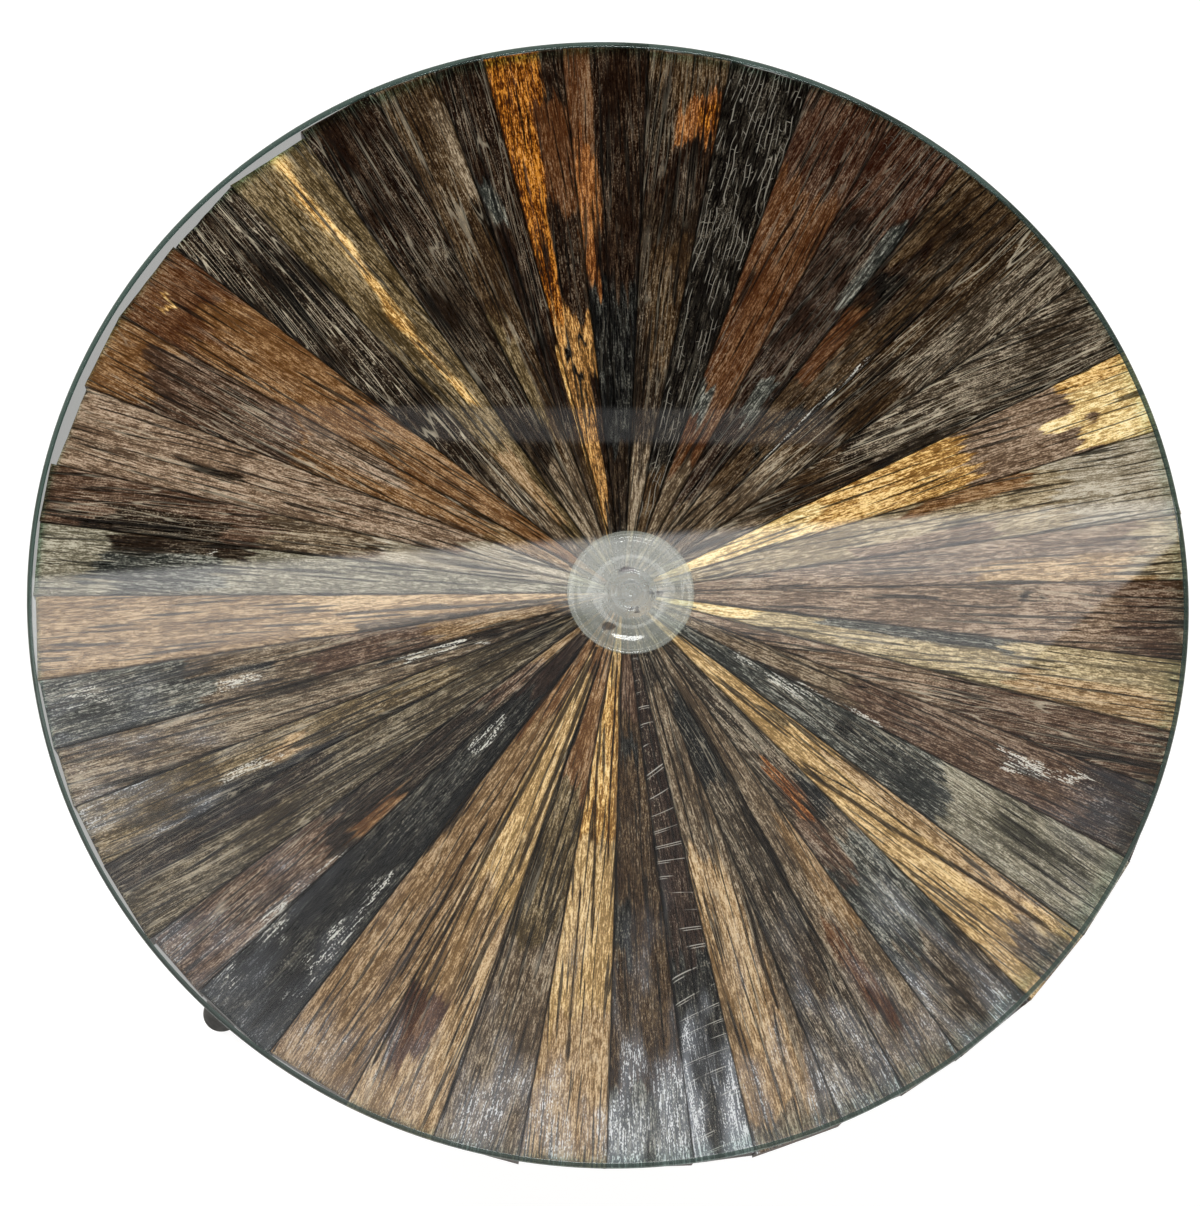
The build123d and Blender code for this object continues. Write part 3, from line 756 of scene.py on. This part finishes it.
def stave_material(name, plan, finish, seed):
    """Varnished old timber whose grain runs along the stave."""
    wood = Wiring(name + "_timber")
    place = wood.own_place((plan.tip[0], plan.tip[1], plan.bottom), plan.angle)
    parts = wood.parts(place)
    shift = seed * 3.17
    sway = wood.noise(place, (6, 30, 30), 1, seed=shift)
    sway = wood.total((sway, 0.008), (parts["X"], -finish.lean), start=-0.004)
    grain = wood.vector("ADD", place, wood.node("CombineXYZ", {"Y": sway}).outputs[0])
    fibre = wood.noise(grain, (130, 900, 700), 1, 0.7, shift)
    grit = wood.noise(place, (700, 1300, 900), 0, seed=shift + 71)
    streak = wood.noise(grain, (9, 230, 160), 1, 0.6, shift + 5)
    cloud = wood.noise(place, (18, 40, 30), 2, 0.65, shift + 17)
    dash = wood.noise(grain, (18, 520, 420), 0, 0.5, shift + 29)
    glint = wood.noise(grain, (80, 1000, 700), 1, 0.7, shift + 83)
    glint = wood.total((glint, 0.65), (grit, 0.35))
    speckle = wood.total((fibre, 0.5), (grit, 0.5))
    groove = wood.node("Attribute", attribute_name="groove").outputs["Fac"]
    # The groove term darkens hollows: painted shade.
    terms = [(fibre, 1.7), (streak, 0.6), (cloud, 0.8), (grit, 0.7), (groove, -0.2)]
    value = wood.total(*terms, start=-1.4)
    colour = tone_colour(wood, value, finish.tone)

    stray = wood.total((streak, 0.144), (cloud, 0.24), start=-0.19)
    reach = wood.scaled(parts["X"], 1 / plan.reach, stray)
    side = wood.math("DIVIDE", parts["Y"], parts["X"])
    side = wood.total((side, 1 / plan.half_slope), (stray, 3.0))
    for tone, start, stop, *sides in finish.patches:
        mask = patch_mask(wood, reach, side, start, stop, *(sides or WHOLE_WIDTH))
        # Painted glint: pale streaks where the varnish would catch the light.
        if tone == "glint_streaks":
            mask = wood.times(mask, wood.rise(cloud, 0.34, 0.6))
            colour = wood.blend(wood.times(wood.sparks(mask, glint), 0.75), colour, PAINTED_GLINT_STREAK)
        else:
            colour = wood.blend(mask, colour, tone_colour(wood, value, tone))

    # Painted highlights: pale flecks where ridges would catch the light, more of them on ridged staves
    # and where the sheen is.
    fleck_highlight = 0.05 + 0.22 * finish.ridge + 0.14 * finish.sheen
    fleck_highlight = wood.times(wood.rise(speckle, 0.57, 0.66), wood.rise(cloud, 0.36, 0.66), fleck_highlight)
    colour = wood.blend(fleck_highlight, colour, PAINTED_FLECK_HIGHLIGHT)
    colour = wood.blend(wood.times(wood.rise(dash, 0.60, 0.68), 0.85), colour, DASH)
    # Pale crest lines, partly worn wood and partly painted highlight.
    colour = wood.blend(crest_wear_and_highlight_mask(wood, finish.ridge, grain, cloud, shift), colour, CREST_WEAR_AND_HIGHLIGHT)
    if finish.checks:
        mask = check_mask(wood, finish.checks, place, grain, cloud, shift)
        colour = wood.blend(mask, colour, CHECK)
    if finish.strokes:
        mask = saw_mark_mask(wood, finish.strokes, place, parts, shift)
        colour = wood.blend(mask, colour, SAW_MARK)
    # Painted sheen: a bluish haze and white glints drawn into the colour where the varnish would
    # reflect light.
    if finish.sheen:
        mask = painted_sheen_mask(wood, finish.sheen, grain, parts, shift)
        film = wood.math("MULTIPLY", mask, 0.42, clamp=True)
        colour = wood.blend(film, colour, PAINTED_SHEEN_HAZE)
        sheen_glint = wood.sparks(wood.times(mask, 0.62), glint)
        colour = wood.blend(wood.times(sheen_glint, 0.8), colour, PAINTED_SHEEN_GLINT)
    # Painted shade: the deeper a place lies in a groove or crack, the darker it is drawn, down to near
    # black; the same mask draws the dark lines along the joints.
    colour = wood.blend(wood.times(wood.rise(groove, 0.5, 1.0), 0.8), colour, PAINTED_GROOVE_SHADE_AND_JOINTS)
    end = end_grain(wood, finish.tone, place, cloud, seed, shift)
    colour = wood.blend(end_mask(wood, plan.angle), colour, end)

    rough = wood.scaled(fibre, 0.4, 0.12)
    normal = wood.bump(wood.scaled(dash, -1.0, fibre), 0.7 * MM * (0.4 + finish.ridge), 0.6)
    wood.set(Base_Color=colour, Roughness=rough, Specular_IOR_Level=0.12, Normal=normal)
    return wood.material


# -------- glass and pad --------

def lets_light_through(wiring, colour):
    """Clear to the light that wood and glass exchange, so that it goes straight through."""
    path = wiring.node("LightPath").outputs
    rough = wiring.math("SUBTRACT", path["Is Glossy Ray"], path["Is Singular Ray"], clamp=True)
    light = wiring.math("MAXIMUM", path["Is Shadow Ray"], path["Is Diffuse Ray"])
    wiring.clear_where(wiring.math("MAXIMUM", light, rough), colour)


def glass_material():
    glass = Wiring("float_glass")
    glass.set(Base_Color=(1, 1, 1, 1), Roughness=0.0, IOR=1.5, Transmission_Weight=1.0)
    lets_light_through(glass, (0.96, 0.965, 0.96, 1))
    tint = glass.node("VolumeAbsorption", {"Color": (0.6, 0.85, 0.8, 1), "Density": 0.9})
    glass.put(glass.output.inputs["Volume"], tint.outputs[0])
    return glass.material


def glass_edge_material():
    edge = Wiring("ground_glass_edge")
    place = edge.own_place()
    height = edge.parts(place)["Z"]
    thick = glass_high.z - glass_low.z
    stray = edge.noise(place, (60, 60, 400), 2)
    height = edge.total((height, 1 / thick), (stray, 0.2), start=-glass_low.z / thick)
    # Green of the glass, with painted light and shade across the edge's height: dark lines at the
    # bottom and the top, and a pale band in the upper part where a rounded edge would reflect the
    # room.
    stops = [
        (0.1, linear(46, 62, 57)), (0.5, linear(66, 88, 81)), (0.72, linear(138, 158, 150)),
        (0.86, linear(150, 168, 160)), (0.96, linear(66, 84, 78)),
    ]
    colour = edge.ramp(height, stops)
    edge.set(Base_Color=colour, Roughness=0.16, IOR=1.5, Transmission_Weight=0.55)
    lets_light_through(edge, (0.8, 0.85, 0.83, 1))
    return edge.material


def make_glass():
    """A round sheet with a pencil edge."""
    mesh = bmesh.new()
    bmesh.ops.create_circle(mesh, cap_ends=True, segments=glass_segments, radius=glass_radius)
    bmesh.ops.translate(mesh, verts=mesh.verts, vec=(glass_center.x, glass_center.y, glass_low.z))
    thick = glass_high.z - glass_low.z
    lid = bmesh.ops.extrude_face_region(mesh, geom=list(mesh.faces))["geom"]
    top = [item for item in lid if isinstance(item, bmesh.types.BMVert)]
    bmesh.ops.translate(mesh, verts=top, vec=(0, 0, thick))
    bmesh.ops.recalc_face_normals(mesh, faces=mesh.faces)
    edges = [edge for edge in mesh.edges if any(len(face.verts) > 4 for face in edge.link_faces)]
    bmesh.ops.bevel(
        mesh, geom=edges, offset=edge_round * thick, offset_type="OFFSET", segments=edge_segments,
        profile=0.5, affect="EDGES", material=-1,
    )
    for face in mesh.faces:
        face.smooth = len(face.verts) == 4
        face.material_index = 1 if len(face.verts) == 4 else 0
    piece = make_piece(mesh, "glass_sheet", glass_material(), "glass")
    piece.data.materials.append(glass_edge_material())
    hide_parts("glass_top")


def vinyl_material():
    vinyl = Wiring("moulded_clear_vinyl")
    place = vinyl.own_place(tuple(pad_center))
    cloud = vinyl.noise(place, (90, 90, 90), 3, 0.6)
    ragged = vinyl.noise(place, (330, 330, 60), 3, 0.65, 5)

    def blot(x, y, wide, high):
        """A spot with a ragged edge, its middle and its half sizes in millimetres."""
        away = vinyl.vector("SUBTRACT", place, (x * MM, y * MM, 0))
        away = vinyl.vector("MULTIPLY", away, (1000 / wide, 1000 / high, 0))
        return vinyl.rise(vinyl.scaled(ragged, 1.2, vinyl.length(away)), 1.75, 1.45)

    # A brown crescent and a brown spot drawn on the disc, and dark specks.
    inside = vinyl.opposite(blot(-2.4, 11.4, 7.0, 3.4))
    arc = vinyl.times(blot(-2.4, 14.6, 6.4, 3.6), inside)
    brown_marks = vinyl.math("MAXIMUM", arc, vinyl.times(blot(-15.4, -24.5, 4.6, 3.0), 0.75))
    grime = vinyl.times(blot(17.5, -0.5, 5.5, 3.6), vinyl.rise(ragged, 0.5, 0.56))
    curl = vinyl.times(blot(3.5, -12.6, 4.4, 2.2), vinyl.rise(ragged, 0.5, 0.44))
    grime = vinyl.times(vinyl.math("MAXIMUM", grime, curl), 0.9)
    colour = vinyl.two_tone(cloud, (208, 216, 208), (240, 245, 238))
    colour = vinyl.blend(brown_marks, colour, linear(64, 30, 20))
    colour = vinyl.blend(grime, colour, linear(24, 22, 20))
    scuff = vinyl.rise(vinyl.noise(place, (420, 420, 60), 2, 0.6, 9), 0.56, 0.7)
    rough = vinyl.scaled(scuff, 0.25, 0.06)
    bump = vinyl.bump(cloud, 0.1 * MM, 0.4)
    vinyl.set(Base_Color=colour, Roughness=rough, IOR=1.45, Transmission_Weight=0.78, Normal=bump)
    vinyl.set(Coat_Weight=1.0, Coat_Roughness=0.02)
    lets_light_through(vinyl, (0.9, 0.92, 0.89, 1))
    return vinyl.material


# The pad's half section, from the middle of its top round to the tip of its peg, in millimetres.
PAD_PROFILE = [
    (0, -0.05), (2.4, -0.12), (3.9, -0.5), (4.8, -1.3), (5.5, -2.1), (6.4, -2.2), (7.3, -1.5),
    (8.1, -0.6), (9, -0.2), (10.4, -0.1), (11.6, -0.35), (12.6, -0.9), (13.6, -1.15),
    (14.8, -0.8), (15.8, -0.35), (17.6, -0.2), (18.6, -0.3), (19.4, -0.55), (20.2, -0.35),
    (24, -0.22), (28, -0.2), (30.4, -0.3), (32.4, -0.75), (35, -1.3), (36.6, -1.42),
    (37.8, -0.9), (38.6, -0.3), (39.8, -0.06), (41.8, -0.02), (43, -0.1), (43.8, -0.5),
    (44, -1.2), (43.9, -2), (43.3, -2.38), (40, -2.4), (30, -2.4), (18.4, -2.4),
    (17.7, -2.8), (17.6, -4), (17.6, -14.2), (17.2, -15.2), (16.2, -15.4), (8, -15.4),
    (7.1, -15.7), (7, -16.6), (7, -19.8), (6.4, -21), (4.8, -21.4), (0, -21.4),
]


def make_pad():
    """A clear moulded disc with a dished top, and a boss and a peg below it."""
    mesh = bmesh.new()
    places = [(pad_center.x + r * MM, pad_center.y, pad_high.z + z * MM) for r, z in PAD_PROFILE]
    points = [mesh.verts.new(place) for place in places]
    lines = [mesh.edges.new(pair) for pair in zip(points, points[1:])]
    bmesh.ops.spin(
        mesh, geom=points + lines, cent=pad_center, axis=(0, 0, 1), angle=math.tau,
        steps=pad_segments, use_merge=True,
    )
    bmesh.ops.remove_doubles(mesh, verts=mesh.verts, dist=0.01 * MM)
    bmesh.ops.recalc_face_normals(mesh, faces=mesh.faces)
    for face in mesh.faces:
        face.smooth = True
    piece = make_piece(mesh, "clear_disc", vinyl_material(), "pad")
    smooth = piece.modifiers.new("smooth", "SUBSURF")
    smooth.levels = 1
    smooth.render_levels = 1
    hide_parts("centre_pad")


# -------- wood below, iron and rubber --------

def plywood_material():
    """A veneer face, with the plies showing round the edge."""
    ply = Wiring("plywood_board")
    place = ply.own_place()
    sway = ply.scaled(ply.noise(place, (5, 9, 9), 2), 0.05, -0.025)
    wavy = ply.vector("ADD", place, ply.node("CombineXYZ", {"Y": sway}).outputs[0])
    grain = ply.noise(wavy, (5, 110, 60), 4, 0.62)
    pores = ply.rise(ply.noise(wavy, (28, 800, 60), 1, 0.6, 3), 0.56, 0.68)
    stops = [(0.3, linear(124, 90, 56)), (0.5, linear(164, 126, 84)), (0.7, linear(190, 156, 112))]
    face = ply.blend(ply.times(pores, 0.5), ply.ramp(grain, stops), linear(92, 62, 36))
    height = ply.scaled(grain, 0.4 * MM, ply.parts(place)["Z"])
    layer = ply.math("PINGPONG", height, 2.6 * MM)
    layer = ply.rise(layer, 1.1 * MM, 1.5 * MM)
    layers = ply.blend(layer, linear(104, 72, 44), linear(190, 158, 118))
    facing = ply.parts(ply.node("TexCoord").outputs["Normal"])["Z"]
    colour = ply.blend(ply.rise(ply.math("ABSOLUTE", facing), 0.9, 0.8), face, layers)
    ply.set(Base_Color=colour, Roughness=0.62, Normal=ply.bump(grain, 0.3 * MM, 0.3))
    return ply.material


def iron_material():
    iron = Wiring("blackened_iron")
    place = iron.own_place()
    pits = iron.noise(place, (260, 260, 260), 4, 0.6)
    cloud = iron.noise(place, (22, 22, 22), 3, 0.5, 4)
    colour = iron.two_tone(cloud, (30, 29, 28), (52, 50, 48))
    iron.set(Base_Color=colour, Metallic=0.35, Roughness=iron.scaled(pits, 0.3, 0.32))
    iron.set(Normal=iron.bump(pits, 0.25 * MM, 0.5))
    return iron.material


def rubber_material():
    rubber = Wiring("foot_rubber")
    dust = rubber.noise(rubber.own_place(), (180, 180, 180), 4, 0.6)
    colour = rubber.two_tone(dust, (66, 66, 64), (98, 98, 95))
    rubber.set(Base_Color=colour, Roughness=0.7, Normal=rubber.bump(dust, 0.2 * MM, 0.4))
    return rubber.material


def steel_material():
    steel = Wiring("zinc_steel")
    brown_marks = steel.noise(steel.own_place(), (500, 500, 500), 3)
    colour = steel.two_tone(brown_marks, (150, 148, 140), (190, 188, 180))
    steel.set(Base_Color=colour, Metallic=1.0, Roughness=0.35)
    return steel.material


def dress(node, material):
    """Gives a CAD node its finish."""
    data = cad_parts[node].data
    data.materials.clear()
    data.materials.append(material)


def make_weld(number, material):
    """The rippled bead that joins a leg's slanting end to its plate."""
    points = np.array([vertex.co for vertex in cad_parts[f"leg_{number}"].data.vertices])
    upper = points[points[:, 2] > points[:, 2].max() - 0.2 * MM]
    lower = points[points[:, 2] < points[:, 2].min() + 0.2 * MM]
    center = Vector((upper.min(0) + upper.max(0)) / 2)
    axis = (center - Vector((lower.min(0) + lower.max(0)) / 2)).normalized()
    across = axis.cross(Vector((0, 0, 1))).normalized()
    along = Vector((0, 0, 1)).cross(across)
    radius = float(np.abs((upper - np.array(center)) @ np.array(across)).max())
    mesh = bmesh.new()
    upright = Matrix.Rotation(math.pi / 2, 4, "X")
    profile = bmesh.ops.create_circle(mesh, segments=bead_profile_steps, radius=1.0, matrix=upright)
    bmesh.ops.translate(mesh, verts=profile["verts"], vec=(bead_profile_offset, 0, 0))
    bmesh.ops.spin(
        mesh, geom=list(mesh.verts) + list(mesh.edges), axis=(0, 0, 1), angle=math.tau,
        steps=bead_steps, use_merge=True,
    )
    bmesh.ops.remove_doubles(mesh, verts=mesh.verts, dist=0.001)
    for vertex in mesh.verts:
        turn = math.atan2(vertex.co.y, vertex.co.x)
        ripple = (2.0 + 0.5 * abs(math.sin(8.5 * turn)) + 0.2 * math.sin(3 * turn + number)) * MM
        from_middle = math.hypot(vertex.co.x, vertex.co.y) - bead_profile_offset
        out = radius + 0.9 * MM + from_middle * ripple
        drop = -0.7 * MM + vertex.co.z * 0.8 * ripple
        vertex.co = center + across * out * math.cos(turn) + along * out / axis.z * math.sin(turn)
        vertex.co.z += drop
    bmesh.ops.recalc_face_normals(mesh, faces=mesh.faces)
    for face in mesh.faces:
        face.smooth = True
    piece = make_piece(mesh, f"weld_{number}", material, "table")


# -------- the stage --------

def make_camera():
    """Looks almost straight down, leaning towards the near side."""
    data = bpy.data.cameras.new("camera")
    data.sensor_fit = "HORIZONTAL"
    data.sensor_width = sensor_width
    data.lens = focal_pixels / picture_width * sensor_width
    data.clip_end = 50
    camera = add_object("camera", data)
    lean = math.sin(camera_lean)
    back = Vector((
        math.sin(camera_azimuth) * lean,
        -math.cos(camera_azimuth) * lean,
        math.cos(camera_lean),
    ))
    right = Vector((0, 1, 0)).cross(back).normalized()
    turn = Matrix((right, back.cross(right), back)).transposed().to_4x4()
    camera.matrix_world = Matrix.Translation(camera_aim + back * camera_distance) @ turn
    bpy.context.scene.camera = camera


def make_sheet(name, half_width, height, material):
    """A level square of the stage."""
    mesh = bmesh.new()
    bmesh.ops.create_grid(mesh, x_segments=1, y_segments=1, size=half_width)
    bmesh.ops.translate(mesh, vec=(0, 0, height), verts=mesh.verts)
    sheet = mesh_object(mesh, name, material)
    return sheet


def make_ceiling():
    """A dark ceiling with a bright band, a hazy near part and a soft lamp, only in reflections."""
    light = Wiring("ceiling_light")
    place = light.parts(light.own_place())
    x, y = place["X"], place["Y"]
    away = light.math("ABSOLUTE", x)
    over = light.scaled(x, -0.08, y)
    under = light.scaled(away, 0.16, y)
    faint = light.times(light.rise(x, 0.1, 0.2), light.rise(y, 0.66, 0.63))
    corner = light.rise(light.scaled(y, -1.2, x), 0.036, 0.054)
    band = light.times(light.rise(over, 0.703, 0.688), light.rise(under, 0.585, 0.625))
    band = light.times(band, light.scaled(faint, -0.5, 1.0), light.opposite(corner))
    haze = light.scaled(light.rise(x, 0.0, -0.8), 0.35, 0.22)
    haze = light.times(light.rise(y, 0.65, 0.55), haze)
    front = light.rise(y, 0.1, -0.25)
    aside = light.math("POWER", light.times(x, 2.0), 2.0)
    ahead = light.math("POWER", light.scaled(y, 4.6, 2.3), 2.0)
    lamp = light.rise(light.math("ADD", aside, ahead), 1.0, 0.25)
    bar = light.times(light.rise(y, 0.84, 0.85), light.rise(y, 0.90, 0.89))
    bar = light.times(bar, light.rise(away, 0.42, 0.38))
    strength = light.math("MAXIMUM", light.scaled(band, 2.2, 0.008), haze)
    strength = light.total((front, 0.5), (lamp, 16.0), (bar, 0.3), start=strength)
    glow = light.node("Emission", {"Strength": strength})
    light.put(light.output.inputs["Surface"], glow.outputs[0])
    ceiling = make_sheet("ceiling", ceiling_half_width, ceiling_height, light.material)
    ceiling.visible_camera = False
    ceiling.visible_diffuse = False
    ceiling.visible_shadow = False


def make_floor():
    """A pale floor that holds the table's shadow and can't be seen from below. Seen through the glass
    near the table it is drawn darker and glows less, as painted shade under the top.
    """
    pale = Wiring("pale_floor")
    path = pale.node("LightPath").outputs
    away = pale.length(pale.own_place())
    # Painted shade: seen through the glass, the floor near the table is darker and glows less.
    painted_shade_under_glass = pale.times(path["Is Transmission Ray"], pale.rise(away, 0.9, 0.6))
    colour = pale.blend(painted_shade_under_glass, (0.24, 0.24, 0.24, 1), (0.11, 0.115, 0.11, 1))
    # To the camera the floor glows a little less near the table, so the shadow there shows.
    seen = pale.times(path["Is Camera Ray"], pale.scaled(pale.rise(away, 0.7, 2.2), 0.14, 0.88))
    through = pale.times(path["Is Transmission Ray"], pale.rise(away, 0.6, 0.9))
    glow = pale.total((path["Is Glossy Ray"], 0.3), (through, 0.7), start=seen)
    pale.set(Base_Color=colour, Roughness=0.9, Specular_IOR_Level=0.0)
    pale.set(Emission_Color=(1, 1, 1, 1), Emission_Strength=glow)
    pale.clear_where(pale.node("NewGeometry").outputs["Backfacing"])
    make_sheet("floor", floor_half_width, 0, pale.material)


def make_world():
    """White to the camera and through glass, weaker in reflections and faint as a light."""
    world = bpy.data.worlds.new("studio")
    bpy.context.scene.world = world
    sky = Wiring("studio", world)
    path = sky.node("LightPath").outputs
    glossy = sky.times(path["Is Glossy Ray"], 0.55)
    seen = sky.math("MAXIMUM", path["Is Camera Ray"], glossy)
    seen = sky.math("MAXIMUM", seen, path["Is Transmission Ray"])
    strength = sky.node("MapRange", {"Value": seen, "To Min": 0.12, "To Max": 1.0})
    sky.set(Color=(1, 1, 1, 1), Strength=strength.outputs[0])


def make_lamp(name, place, size, energy):
    """A square lamp that lights the table and shows in no reflection."""
    data = bpy.data.lights.new(name, "AREA")
    data.shape = "SQUARE"
    data.size = size
    data.energy = energy
    data.color = lamp_colour
    lamp = add_object(name, data)
    way = Vector(lamp_target) - Vector(place)
    lamp.matrix_world = Matrix.Translation(place) @ way.to_track_quat("-Z", "Y").to_matrix().to_4x4()
    lamp.visible_glossy = False
    lamp.visible_transmission = False


def main():
    bpy.context.scene.view_settings.view_transform = "Standard"
    make_camera()
    make_world()
    make_floor()
    make_lamp("key_lamp", (-1.3, 1.7, 2.6), 1.4, 121)
    make_lamp("fill_lamp", (1.8, -1.6, 2.2), 1.8, 62)
    make_ceiling()
    for number, (node, finish) in enumerate(zip(stave_nodes, FINISHES), start=1):
        make_stave(node, finish, number)
    make_glass()
    make_pad()
    dress("backing_board", plywood_material())
    iron = iron_material()
    rubber = rubber_material()
    for number in leg_numbers:
        dress(f"leg_{number}", iron)
        dress(f"leg_plate_{number}", iron)
        dress(f"foot_{number}", rubber)
        make_weld(number, iron)
    dress("plate_screws", steel_material())


main()
